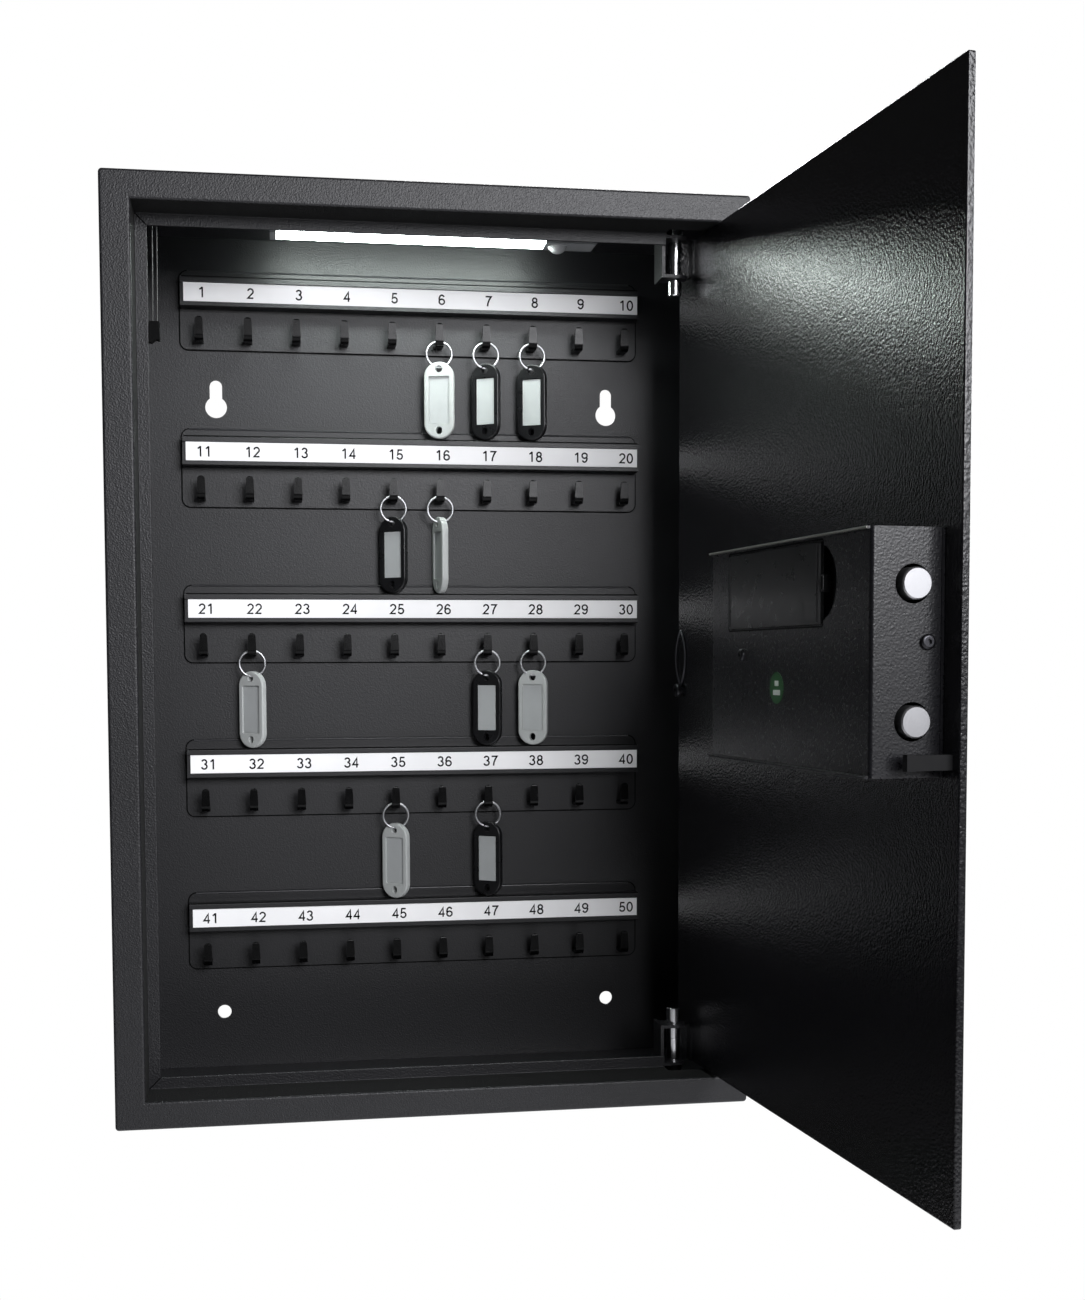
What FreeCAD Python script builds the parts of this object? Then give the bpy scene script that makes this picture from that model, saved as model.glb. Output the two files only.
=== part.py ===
"""Wall-mounted steel key cabinet for 50 keys, with an electronic lock, an interior light and ten key tags.

Millimetres. X runs to the right, +Y into the wall and +Z up. The origin is the centre of the back face, the
face that rests on the wall, so the cabinet lies between y = -DEPTH and y = 0. The door is drawn shut, in its
recess, and then turned open by DOOR_OPEN about the hinge line, which is how it stands at rest.
"""

import FreeCAD
import Part
import math
import os

from FreeCAD import Vector as V

# ---- cabinet -------------------------------------------------------------------------------------------
WIDTH = 380.0
HEIGHT = 550.0
DEPTH = 140.0
SHEET = 1.5                # body sheet steel
EDGE_RADIUS = 1.6          # folds of the body
FRAME_SIDE = 17.5          # front frame, left and right
FRAME_END = 16.5           # front frame, top and bottom
RECESS = 29.0              # front of the frame to the door stop
STOP_LIP = 7.0             # width of the door stop
HINGE_RETURN = 20.0        # the frame's return is shorter on the hinge side, where the door swings in
STOP_END = 145.0           # x where the top and bottom door stops end, beside the hinges

# ---- wall fixings --------------------------------------------------------------------------------------
FIXING_X = 130.5
KEYHOLE_Z = 164.5          # centre of the round part
KEYHOLE_RADIUS = 7.0
KEYHOLE_SLOT_RADIUS = 4.0
KEYHOLE_SLOT_RISE = 13.5   # round centre up to the centre of the slot's end
LOWER_HOLE_Z = -236.5
LOWER_HOLE_RADIUS = 4.5

# ---- hook rails ----------------------------------------------------------------------------------------
ROWS = 5
HOOKS_PER_ROW = 10
HOOK_PITCH = 31.2
ROW_PITCH = 102.0
TOP_STRIP_Z = 242.5        # top edge of the uppermost number strip
RAIL_LEFT = -152.7
RAIL_RIGHT = 150.6
RAIL_SHEET = 1.2
RAIL_RISE = 9.2            # rail plate above the strip's top edge
RAIL_DROP = 41.0           # rail plate below it
RAIL_CORNER = 5.0
CHANNEL_STAND = 11.5       # channel front, out from the back panel
CHANNEL_RISE = 3.7
CHANNEL_DROP = 15.0
CHANNEL_WALL = 1.0
STRIP_LENGTH = 300.0
STRIP_HEIGHT = 12.0
STRIP_SHEET = 1.0
STRIP_SINK = 1.0           # strip face behind the channel front
STRIP_PLAY = 0.3

# ---- hooks ---------------------------------------------------------------------------------------------
TROUGH_DROP = 34.9         # strip top edge down to the trough, where a ring sits
HOOK_STOCK = 2.3
HOOK_WIDTH = 5.5
HOOK_TIP_WIDTH = 4.5
HOOK_REACH = 15.2          # outer face of the front leg, out from the back panel
HOOK_TIP_RISE = 12.8       # trough up to the tip
HOOK_INNER_RADIUS = 1.6

# ---- door ----------------------------------------------------------------------------------------------
DOOR_OPEN = 96.4           # degrees open at rest
DOOR_SHEET = 4.0
DOOR_GAP = 2.0             # top, bottom and free edge
DOOR_HINGE_GAP = 1.5
DOOR_STOP_GAP = 0.5
DOOR_EDGE_RADIUS = 0.8
HINGE_X = 153.0
HINGE_OFFSET = 10.0        # hinge line behind the door's inner face
PIN_RADIUS = 4.3
PIN_TOP = 263.0
PIN_BOTTOM = 222.5
PIN_HEAD_RADIUS = 5.3
PIN_HEAD = 4.5
PIN_GROOVE_Z = 241.3
PIN_RUNNING_GAP = 0.05
EAR_SHEET = 2.0
EAR_UPPER_Z = 256.2        # underside of the upper ear
EAR_LOWER_Z = 232.4        # underside of the lower ear
EAR_RADIUS = 7.0
WEB_LEFT = 143.0
WEB_DEPTH = 20.0
LUG_WIDTH = 5.0

# ---- lock housing on the door's inner face (door shut) -------------------------------------------------
BOX_LEFT = -155.5
BOX_RIGHT = 27.5
BOX_BOTTOM = -55.5
BOX_TOP = 55.5
BOX_DEEP = 35.5
BOX_SHEET = 1.2
BOX_LIP = 1.5              # top and bottom edges stand past the face
BOLT_RADIUS = 7.2
BOLT_SPREAD = 30.5
BOLT_OFFSET = 15.0         # bolt axis behind the door's inner face
BOLT_PROUD = 4.0           # bolt end outside the housing when drawn back
BOLT_LENGTH = 34.0
BOLT_HOLE_RADIUS = 8.8
BOLT_THROW = 20.0
BOLT_CHAMFER = 0.6
CARRIAGE_SHEET = 2.5
FACE_SCREW_X = -14.8
FACE_SCREW_Z = -0.1
SCREW_RADIUS = 2.0
SPRING_WIRE = 0.6
CRANK_RADIUS = 20.0        # half the throw at 30 degrees either side
CRANK_SWING = 30.0
CRANK_PIN_RADIUS = 2.0
CRANK_PIN_PLAY = 0.5
KNOB_X = -78.0
KNOB_Z = -20.0
SHAFT_RADIUS = 5.0
SHAFT_GAP = 0.05

# ---- battery compartment -------------------------------------------------------------------------------
COVER_LEFT = -107.1
COVER_RIGHT = 2.6
COVER_BOTTOM = 13.8
COVER_TOP = 52.0
COVER_SHEET = 1.6
COVER_PROUD = 0.6
COVER_GAP = 0.5
NOTCH_REACH = 14.5         # finger recess beside the cover
CELL_RADIUS = 7.1
CELL_LENGTH = 50.0
BAY_DEEP = 17.4
BAY_FLOOR = 1.8

# ---- outside of the door -------------------------------------------------------------------------------
KNOB_RADIUS = 17.0
KNOB_LENGTH = 18.0
KEYPAD_WIDTH = 78.0
KEYPAD_HEIGHT = 92.0
KEYPAD_Z = 62.0
KEYPAD_THICK = 9.0
OVERRIDE_X = -22.0
OVERRIDE_RADIUS = 9.5

# ---- light ---------------------------------------------------------------------------------------------
LIGHT_LEFT = -94.5
LIGHT_LENS_RIGHT = 79.5
LIGHT_RIGHT = 120.0
LIGHT_FRONT = 80.0         # behind the front of the cabinet
LIGHT_WIDE = 18.0
LIGHT_THICK = 10.0
LENS_THICK = 5.0
LENS_CAP = 4.0
DOME_X = 88.3
DOME_RADIUS = 6.2
DOME_DROP = 4.5

# ---- key tags ------------------------------------------------------------------------------------------
TAG_WIDTH = 20.0
TAG_HEIGHT = 50.5
TAG_THICK = 4.6
TAG_WEB = 2.0
TAG_RIM = 3.0
TAG_DROP = 47.0            # strip top edge down to the top of a tag
TAG_STAND = 12.5           # ring and tag centre, out from the wall face
RING_RADIUS = 8.35
RING_WIRE = 0.75
RING_PLAY = 0.5
# hook number: degrees that the tag hangs turned about the vertical
TAG_TURN = {6: 15, 7: 33, 8: 30, 15: 36, 16: 76, 22: 38, 27: 28, 28: 22, 35: 38, 37: 33}

# ---- worked out ----------------------------------------------------------------------------------------
FRONT = -DEPTH
SIDE = WIDTH / 2
END = HEIGHT / 2
OPEN_X = SIDE - FRAME_SIDE                 # edges of the door opening
OPEN_Z = END - FRAME_END
STOP_Y = FRONT + RECESS
DOOR_IN = STOP_Y - DOOR_STOP_GAP           # door's inner face, shut
DOOR_OUT = DOOR_IN - DOOR_SHEET
HINGE_Y = DOOR_IN + HINGE_OFFSET
DOOR_LEFT = -OPEN_X + DOOR_GAP
DOOR_RIGHT = OPEN_X - DOOR_HINGE_GAP
DOOR_END = OPEN_Z - DOOR_GAP
PANEL_Y = -SHEET                           # front of the back panel
RAIL_Y = PANEL_Y - RAIL_SHEET              # front of the rail plates
CHANNEL_Y = PANEL_Y - CHANNEL_STAND
STRIP_Y = CHANNEL_Y + STRIP_SINK           # face of the number strips
BOX_FACE = DOOR_IN + BOX_DEEP
BOLT_Y = DOOR_IN + BOLT_OFFSET
BOLT_TIP = BOX_LEFT - BOLT_PROUD

EPS = 0.01


# ---- shapes --------------------------------------------------------------------------------------------
def box(x0, x1, y0, y1, z0, z1):
    """Block between two corners."""
    return Part.makeBox(x1 - x0, y1 - y0, z1 - z0, V(x0, y0, z0))


def rod(radius, start, end):
    """Cylinder from one point to another."""
    axis = end - start
    return Part.makeCylinder(radius, axis.Length, start, axis)


def outline(points, to_3d):
    """Closed face through (u, v, radius) corners, each rounded by an arc of its radius."""
    flat = [V(u, v, 0) for u, v, _ in points]
    edges = []
    stops = []
    for i, (_, _, radius) in enumerate(points):
        corner = flat[i]
        before = (flat[i - 1] - corner).normalize()
        after = (flat[(i + 1) % len(flat)] - corner).normalize()
        if radius <= 0:
            stops.append((corner, None, corner))
            continue
        half = before.getAngle(after) / 2
        reach = radius / math.tan(half)
        centre = corner + (before + after).normalize() * (radius / math.sin(half))
        middle = centre + (corner - centre).normalize() * radius
        stops.append((corner + before * reach, middle, corner + after * reach))
    for i, (enter, middle, leave) in enumerate(stops):
        if middle is not None:
            edges.append(Part.Arc(to_3d(enter), to_3d(middle), to_3d(leave)).toShape())
        following = stops[(i + 1) % len(stops)][0]
        if (following - leave).Length > EPS:
            edges.append(Part.LineSegment(to_3d(leave), to_3d(following)).toShape())
    return Part.Face(Part.Wire(edges))


def front_plate(points, y0, y1):
    """Outline in x and z, from y0 to y1."""
    face = outline(points, lambda p: V(p.x, y0, p.y))
    return face.extrude(V(0, y1 - y0, 0))


def side_profile(points, x0, x1):
    """Outline in y and z, from x0 to x1."""
    face = outline(points, lambda p: V(x0, p.x, p.y))
    return face.extrude(V(x1 - x0, 0, 0))


def plan_profile(points, z0, z1):
    """Outline in x and y, from z0 to z1."""
    face = outline(points, lambda p: V(p.x, p.y, z0))
    return face.extrude(V(0, 0, z1 - z0))


def rounded_plate(x0, x1, z0, z1, y0, y1, radius):
    """Plate in the plane of the door with round corners."""
    corners = [(x0, z0, radius), (x1, z0, radius), (x1, z1, radius), (x0, z1, radius)]
    return front_plate(corners, y0, y1)


def upright_edges(shape):
    """Straight edges that run along Z."""
    return [e for e in shape.Edges if abs(e.tangentAt(e.FirstParameter).z) > 0.999 and len(e.Vertexes) == 2]


def union(shapes):
    """One clean solid from shapes that touch."""
    whole = shapes[0].multiFuse(shapes[1:]) if len(shapes) > 1 else shapes[0]
    return whole.removeSplitter()


def opened(shape):
    """Turns a piece of the shut door to where the open door holds it."""
    turned = shape.copy()
    turned.rotate(V(HINGE_X, HINGE_Y, 0), V(0, 0, 1), DOOR_OPEN)
    return turned


def mirrored_z(shape):
    """The same piece at the other end of the cabinet."""
    return shape.mirror(V(0, 0, 0), V(0, 0, 1))


# ---- body ----------------------------------------------------------------------------------------------
def envelope():
    """Outside of the cabinet with its front edges and corners rounded."""
    block = box(-SIDE, SIDE, FRONT, 0, -END, END)
    corners = [e for e in block.Edges if abs(e.tangentAt(0).y) > 0.999]
    block = block.makeFillet(EDGE_RADIUS + 0.6, corners)
    front = [e for e in block.Edges if abs(e.CenterOfMass.y - FRONT) < EPS]
    return block.makeFillet(EDGE_RADIUS, front)


def fold(wall, frame, ret, lip):
    """Section of a body panel as (across, depth) corners: wall, front frame, return and door stop."""
    opening = wall - frame
    points = [
        (wall, 0, 0),
        (wall, FRONT, EDGE_RADIUS),
        (opening, FRONT, EDGE_RADIUS),
    ]
    if lip:
        points += [
            (opening, FRONT + ret, 0.4),
            (opening - lip, FRONT + ret, 0.6),
            (opening - lip, FRONT + ret + SHEET, 0.6),
            (opening + SHEET, FRONT + ret + SHEET, EDGE_RADIUS),
        ]
    else:
        points += [
            (opening, FRONT + ret, 0.5),
            (opening + SHEET, FRONT + ret, 0.5),
        ]
    points += [
        (opening + SHEET, FRONT + SHEET, 0.3),
        (wall - SHEET, FRONT + SHEET, 0.3),
        (wall - SHEET, 0, 0),
    ]
    return points


def mitre(side):
    """Space that one panel keeps: side panels take the trapezoids, end panels the triangles."""
    reach = SIDE * FRAME_END / FRAME_SIDE
    inner = END - reach
    trapezoid = [(SIDE, -END, 0), (SIDE, END, 0), (0, inner, 0), (0, -inner, 0)]
    triangle = [(-SIDE, END, 0), (SIDE, END, 0), (0, inner, 0)]
    return front_plate(trapezoid if side else triangle, FRONT - 1, 1)


def side_panel(right):
    """Left or right wall with its share of the front frame."""
    ret, lip = (HINGE_RETURN, 0) if right else (RECESS, STOP_LIP)
    panel = plan_profile(fold(SIDE, FRAME_SIDE, ret, lip), -END, END)
    panel = panel.common(mitre(True))
    if not right:
        panel = panel.mirror(V(0, 0, 0), V(1, 0, 0))
    return panel


def end_panel():
    """Top wall with its share of the front frame. The door stop ends beside the hinge."""
    section = [(depth, across, radius) for across, depth, radius in fold(END, FRAME_END, RECESS, STOP_LIP)]
    panel = side_profile(section, -SIDE, SIDE).common(mitre(False))
    past = box(STOP_END, SIDE - FRAME_SIDE + SHEET, STOP_Y - EPS, STOP_Y + SHEET + EPS, 0, OPEN_Z + SHEET)
    swing = box(STOP_END, SIDE - SHEET, FRONT + HINGE_RETURN, STOP_Y + SHEET + EPS, 0, OPEN_Z + SHEET + EPS)
    return panel.cut(past).cut(swing)


def keyhole(x):
    """Hanging hole: a round entry with a slot above it."""
    bottom, top = V(x, -SHEET - 1, KEYHOLE_Z), V(x, 1, KEYHOLE_Z)
    rise = V(0, 0, KEYHOLE_SLOT_RISE)
    entry = rod(KEYHOLE_RADIUS, bottom, top)
    seat = rod(KEYHOLE_SLOT_RADIUS, bottom + rise, top + rise)
    slot = box(x - KEYHOLE_SLOT_RADIUS, x + KEYHOLE_SLOT_RADIUS, -SHEET - 1, 1, KEYHOLE_Z, KEYHOLE_Z + rise.z)
    return union([entry, seat, slot])


def back_panel():
    """Back sheet between the four walls, with its wall fixings."""
    panel = box(-SIDE + SHEET, SIDE - SHEET, -SHEET, 0, -END + SHEET, END - SHEET)
    for x in (-FIXING_X, FIXING_X):
        panel = panel.cut(keyhole(x))
        panel = panel.cut(rod(LOWER_HOLE_RADIUS, V(x, -SHEET - 1, LOWER_HOLE_Z), V(x, 1, LOWER_HOLE_Z)))
    return panel


def hinge_bracket():
    """Upper bracket: a web down from the top wall with two ears round the hinge pin."""
    top = END - SHEET
    web = box(WEB_LEFT, WEB_LEFT + EAR_SHEET, STOP_Y + SHEET, STOP_Y + SHEET + WEB_DEPTH, EAR_LOWER_Z, top)
    pieces = [web]
    for z in (EAR_LOWER_Z, EAR_UPPER_Z):
        corners = [
            (WEB_LEFT, STOP_Y + SHEET, 0),
            (HINGE_X + EAR_RADIUS, STOP_Y + SHEET, EAR_RADIUS - 0.1),
            (HINGE_X + EAR_RADIUS, HINGE_Y + EAR_RADIUS, EAR_RADIUS - 0.1),
            (WEB_LEFT, HINGE_Y + EAR_RADIUS, 0),
        ]
        pieces.append(plan_profile(corners, z, z + EAR_SHEET))
    bracket = union(pieces)
    bore = rod(PIN_RADIUS + PIN_RUNNING_GAP, V(HINGE_X, HINGE_Y, 0), V(HINGE_X, HINGE_Y, END))
    return bracket.cut(bore)


# ---- rails and hooks -----------------------------------------------------------------------------------
def strip_top(row):
    """Height of the top edge of a row's number strip."""
    return TOP_STRIP_Z - ROW_PITCH * row


def hook_x(place):
    """Centre of a hook, counted from the left."""
    return (place - (HOOKS_PER_ROW - 1) / 2) * HOOK_PITCH


def hook_rail(row):
    """Rail plate with the folded channel that holds the number strip."""
    top = strip_top(row)
    plate = rounded_plate(RAIL_LEFT, RAIL_RIGHT, top - RAIL_DROP, top + RAIL_RISE, RAIL_Y, PANEL_Y, RAIL_CORNER)
    seat = STRIP_Y + STRIP_SHEET
    channel = [
        (RAIL_Y, top + CHANNEL_RISE, 0),
        (CHANNEL_Y, top + CHANNEL_RISE, 0.8),
        (CHANNEL_Y, top + STRIP_PLAY, 0),
        (seat, top + STRIP_PLAY, 0),
        (seat, top - STRIP_HEIGHT - STRIP_PLAY, 0),
        (CHANNEL_Y, top - STRIP_HEIGHT - STRIP_PLAY, 0),
        (CHANNEL_Y, top - CHANNEL_DROP, 0.5),
        (RAIL_Y, top - CHANNEL_DROP, 0),
    ]
    folded = side_profile(channel, RAIL_LEFT + CHANNEL_WALL / 2, RAIL_RIGHT)
    hollow = box(RAIL_LEFT + 2 * CHANNEL_WALL, RAIL_RIGHT - CHANNEL_WALL, seat + CHANNEL_WALL, RAIL_Y,
                 top - CHANNEL_DROP + CHANNEL_WALL, top + CHANNEL_RISE - CHANNEL_WALL)
    return union([plate, folded.cut(hollow)])


def number_strip(row):
    """Flat strip that carries a row's numbers."""
    top = strip_top(row)
    half = STRIP_LENGTH / 2
    return box(-half, half, STRIP_Y, STRIP_Y + STRIP_SHEET, top - STRIP_HEIGHT, top)


def hook(row, place):
    """J-shaped hook: an arm out from the rail plate, turned up into a narrowing front leg."""
    trough = strip_top(row) - TROUGH_DROP
    tip = trough + HOOK_TIP_RISE
    outer = PANEL_Y - HOOK_REACH
    inner = outer + HOOK_STOCK
    bend = HOOK_INNER_RADIUS
    side = side_profile([
        (RAIL_Y, trough - HOOK_STOCK, 0),
        (outer, trough - HOOK_STOCK, bend + HOOK_STOCK),
        (outer, tip, 1.1),
        (inner, tip, 1.1),
        (inner, trough, bend),
        (RAIL_Y, trough, 0),
    ], -HOOK_WIDTH, HOOK_WIDTH)
    foot, head = HOOK_WIDTH / 2, HOOK_TIP_WIDTH / 2
    front = front_plate([
        (-foot, trough - HOOK_STOCK - 1, 0),
        (foot, trough - HOOK_STOCK - 1, 0),
        (foot, trough + 3, 6),
        (head, tip, 2.2),
        (-head, tip, 2.2),
        (-foot, trough + 3, 6),
    ], outer - 1, RAIL_Y)
    shape = side.common(front)
    shape.translate(V(hook_x(place), 0, 0))
    return shape


# ---- light ---------------------------------------------------------------------------------------------
def light_levels():
    """Ceiling, lens top and lens face heights."""
    ceiling = END - SHEET
    face = ceiling - LIGHT_THICK
    return ceiling, face + LENS_THICK, face


def light_housing():
    """Back of the light bar, its left cap and the sensor block with its slanted end."""
    ceiling, lens_top, face = light_levels()
    y0 = FRONT + LIGHT_FRONT
    y1 = y0 + LIGHT_WIDE
    back = box(LIGHT_LEFT, LIGHT_LENS_RIGHT, y0, y1, lens_top, ceiling)
    cap = box(LIGHT_LEFT, LIGHT_LEFT + LENS_CAP, y0, y1, face, lens_top)
    block = front_plate([
        (LIGHT_LENS_RIGHT, face, 0),
        (LIGHT_RIGHT - 8, face, 1.5),
        (LIGHT_RIGHT, ceiling, 0),
        (LIGHT_LENS_RIGHT, ceiling, 0),
    ], y0, y1)
    middle = (y0 + y1) / 2
    seat = rod(DOME_RADIUS, V(DOME_X, middle, face - 1), V(DOME_X, middle, face + 1.5))
    return union([back, cap, block]).cut(seat)


def light_lens():
    """Diffuser strip with rounded lower edges."""
    _, lens_top, face = light_levels()
    y0 = FRONT + LIGHT_FRONT
    y1 = y0 + LIGHT_WIDE
    section = [(y0, lens_top, 0), (y0, face, 2.5), (y1, face, 2.5), (y1, lens_top, 0)]
    return side_profile(section, LIGHT_LEFT + LENS_CAP, LIGHT_LENS_RIGHT)


def sensor_dome():
    """Faceted-looking dome of the motion sensor: a flattened ball in its seat."""
    _, _, face = light_levels()
    middle = FRONT + LIGHT_FRONT + LIGHT_WIDE / 2
    sphere_radius = (DOME_RADIUS ** 2 + DOME_DROP ** 2) / (2 * DOME_DROP)
    centre = V(DOME_X, middle, face - DOME_DROP + sphere_radius)
    ball = Part.makeSphere(sphere_radius, centre)
    cap = ball.common(box(DOME_X - 20, DOME_X + 20, middle - 20, middle + 20, face - 20, face))
    return union([cap, rod(DOME_RADIUS, V(DOME_X, middle, face), V(DOME_X, middle, face + 1.5))])


# ---- door ----------------------------------------------------------------------------------------------
def door_panel():
    """Flat steel door with holes for the knob shaft, the override lock and the keypad's cable."""
    plate = rounded_plate(DOOR_LEFT, DOOR_RIGHT, -DOOR_END, DOOR_END, DOOR_OUT, DOOR_IN, 1.0)
    rims = [e for e in plate.Edges if abs(e.CenterOfMass.y - DOOR_OUT) < EPS or abs(e.CenterOfMass.y - DOOR_IN) < EPS]
    plate = plate.makeFillet(DOOR_EDGE_RADIUS, rims)
    holes = [
        (KNOB_X, KNOB_Z, SHAFT_RADIUS + SHAFT_GAP),
        (OVERRIDE_X, KNOB_Z, OVERRIDE_RADIUS + SHAFT_GAP),
        (KNOB_X, KEYPAD_Z - 25, 5.0),
    ]
    for x, z, radius in holes:
        plate = plate.cut(rod(radius, V(x, DOOR_OUT - 1, z), V(x, DOOR_IN + 1, z)))
    return drilled(union([plate] + housing_anchors()))


def hinge_pin():
    """Upper hinge pin with its head and its ring groove."""
    centre = V(HINGE_X, HINGE_Y, 0)
    shank = rod(PIN_RADIUS, centre + V(0, 0, PIN_BOTTOM), centre + V(0, 0, PIN_TOP))
    shank = shank.makeChamfer(0.6, [e for e in shank.Edges if abs(e.CenterOfMass.z - PIN_BOTTOM) < EPS])
    head = rod(PIN_HEAD_RADIUS, centre + V(0, 0, PIN_TOP - PIN_HEAD), centre + V(0, 0, PIN_TOP))
    head = head.makeChamfer(0.7, [e for e in head.Edges if abs(e.CenterOfMass.z - PIN_TOP) < EPS])
    groove = rod(PIN_RADIUS + 1, centre + V(0, 0, PIN_GROOVE_Z), centre + V(0, 0, PIN_GROOVE_Z + 0.9))
    core = rod(PIN_RADIUS - 0.5, centre + V(0, 0, PIN_GROOVE_Z - 1), centre + V(0, 0, PIN_GROOVE_Z + 2))
    return union([shank, head]).cut(groove.cut(core))


def hinge_lug():
    """Upper lug that holds the hinge pin off the door's inner face."""
    low = EAR_LOWER_Z + EAR_SHEET + 0.4
    high = EAR_UPPER_Z - 0.4
    lug = box(HINGE_X - LUG_WIDTH / 2, HINGE_X + LUG_WIDTH / 2, DOOR_IN, HINGE_Y, low, high)
    pad = box(HINGE_X - 8, HINGE_X + 6, DOOR_IN, DOOR_IN + 1.5, low, high)
    bore = rod(PIN_RADIUS, V(HINGE_X, HINGE_Y, 0), V(HINGE_X, HINGE_Y, END))
    return union([lug, pad]).cut(bore)


def bolt_centres():
    """Heights of the two locking bolts."""
    return (-BOLT_SPREAD, BOLT_SPREAD)


def lock_housing():
    """Folded cover over the lock, open towards the door."""
    outer = plan_profile([
        (BOX_LEFT, DOOR_IN, 0),
        (BOX_LEFT, BOX_FACE, 2.0),
        (BOX_RIGHT, BOX_FACE, 2.0),
        (BOX_RIGHT, DOOR_IN, 0),
    ], BOX_BOTTOM, BOX_TOP)
    inner = box(BOX_LEFT + BOX_SHEET, BOX_RIGHT - BOX_SHEET, DOOR_IN - 1, BOX_FACE - BOX_SHEET,
                BOX_BOTTOM + BOX_SHEET, BOX_TOP - BOX_SHEET)
    shell = outer.cut(inner)
    lips = []
    for z in (BOX_BOTTOM, BOX_TOP - BOX_SHEET):
        lips.append(box(BOX_LEFT + 1.5, BOX_RIGHT, BOX_FACE - BOX_SHEET, BOX_FACE + BOX_LIP, z, z + BOX_SHEET))
    shell = union([shell] + lips)
    for z in bolt_centres():
        shell = shell.cut(rod(BOLT_HOLE_RADIUS, V(BOX_LEFT - 1, BOLT_Y, z), V(BOX_LEFT + 3, BOLT_Y, z)))
    return drilled(shell.cut(compartment_opening()))


def compartment_opening():
    """Hole in the housing's face for the battery cover, with the finger recess beside it."""
    y0, y1 = BOX_FACE - BOX_SHEET - EPS, BOX_FACE + EPS
    left, right = COVER_LEFT - COVER_GAP, COVER_RIGHT + COVER_GAP
    low, high = COVER_BOTTOM - COVER_GAP, COVER_TOP + COVER_GAP
    middle = (low + high) / 2
    arc = Part.Arc(V(left, y0, low + 2), V(left - NOTCH_REACH, y0, middle), V(left, y0, high - 2)).toShape()
    edges = [
        arc,
        Part.LineSegment(V(left, y0, high - 2), V(left, y0, high)).toShape(),
        Part.LineSegment(V(left, y0, high), V(right, y0, high)).toShape(),
        Part.LineSegment(V(right, y0, high), V(right, y0, low)).toShape(),
        Part.LineSegment(V(right, y0, low), V(left, y0, low)).toShape(),
        Part.LineSegment(V(left, y0, low), V(left, y0, low + 2)).toShape(),
    ]
    return Part.Face(Part.Wire(edges)).extrude(V(0, y1 - y0, 0))


def battery_box():
    """Moulded tray behind the cover, with a bay for each pair of cells and the finger recess's floor."""
    left, right = COVER_LEFT - NOTCH_REACH - 1.5, COVER_RIGHT + 2.5
    low, high = COVER_BOTTOM - 1.5, BOX_TOP - BOX_SHEET - 0.2
    y1 = BOX_FACE - BOX_SHEET
    y0 = y1 - BAY_DEEP
    tray = box(left, right, y0, y1, low, high)
    bay = box(COVER_LEFT + 2, COVER_RIGHT - 2, y0 + BAY_FLOOR, y1 + 1, low + 2.5, high - 2.5)
    recess = box(left + 2, COVER_LEFT + 2.5, y1 - 5.0, y1 + 1, low + 2.5, high - 2.5)
    hollow = box(left + 2, COVER_LEFT, y0 - 1, y1 - 7.0, low + 2.5, high - 2.5)
    return tray.cut(bay).cut(recess).cut(hollow)


def battery_cells():
    """Four cells, two end to end in each of two rows."""
    y = BOX_FACE - BOX_SHEET - BAY_DEEP + BAY_FLOOR + CELL_RADIUS
    middle = (COVER_LEFT + COVER_RIGHT) / 2
    centre = (COVER_BOTTOM + COVER_TOP) / 2
    cells = []
    for z in (centre - CELL_RADIUS - 0.6, centre + CELL_RADIUS + 0.6):
        for start in (middle - CELL_LENGTH - 0.4, middle + 0.4):
            can = rod(CELL_RADIUS, V(start, y, z), V(start + CELL_LENGTH - 1.5, y, z))
            tip = rod(2.7, V(start + CELL_LENGTH - 1.5, y, z), V(start + CELL_LENGTH, y, z))
            cells.append(union([can, tip]))
    return cells


def battery_cover():
    """Snap cover with a rounded hinge edge, and a latch tongue at its free end."""
    y0 = BOX_FACE - COVER_SHEET + COVER_PROUD
    y1 = BOX_FACE + COVER_PROUD
    bead = COVER_SHEET / 2
    centre = COVER_RIGHT - bead
    corners = [V(centre, y0, COVER_BOTTOM), V(COVER_LEFT, y0, COVER_BOTTOM), V(COVER_LEFT, y1, COVER_BOTTOM)]
    corners.append(V(centre, y1, COVER_BOTTOM))
    edges = [Part.LineSegment(a, b).toShape() for a, b in zip(corners, corners[1:])]
    edges.append(Part.Arc(corners[3], V(COVER_RIGHT, (y0 + y1) / 2, COVER_BOTTOM), corners[0]).toShape())
    plate = Part.Face(Part.Wire(edges)).extrude(V(0, 0, COVER_TOP - COVER_BOTTOM))
    middle = (COVER_BOTTOM + COVER_TOP) / 2
    tongue = box(COVER_LEFT - 3.0, COVER_LEFT + 2, y0 - 2.0, y1, middle - 4, middle + 4)
    bump = rod(1.2, V(COVER_LEFT - 2.2, y1, middle - 3), V(COVER_LEFT - 2.2, y1, middle + 3))
    return union([plate, tongue, bump])


def locking_bolt(z):
    """Round steel bolt with a chamfered nose, slotted where it grips the carriage."""
    nose = V(BOLT_TIP, BOLT_Y, z)
    bar = rod(BOLT_RADIUS, nose, nose + V(BOLT_LENGTH, 0, 0))
    rim = [e for e in bar.Edges if abs(e.CenterOfMass.x - BOLT_TIP) < EPS]
    return bar.makeChamfer(BOLT_CHAMFER, rim).cut(bolt_carriage())


def crank_pin_start():
    """Crank pin with the bolts drawn back."""
    swing = math.radians(CRANK_SWING)
    return V(KNOB_X + CRANK_RADIUS * math.sin(swing), 0, KNOB_Z + CRANK_RADIUS * math.cos(swing))


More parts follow.
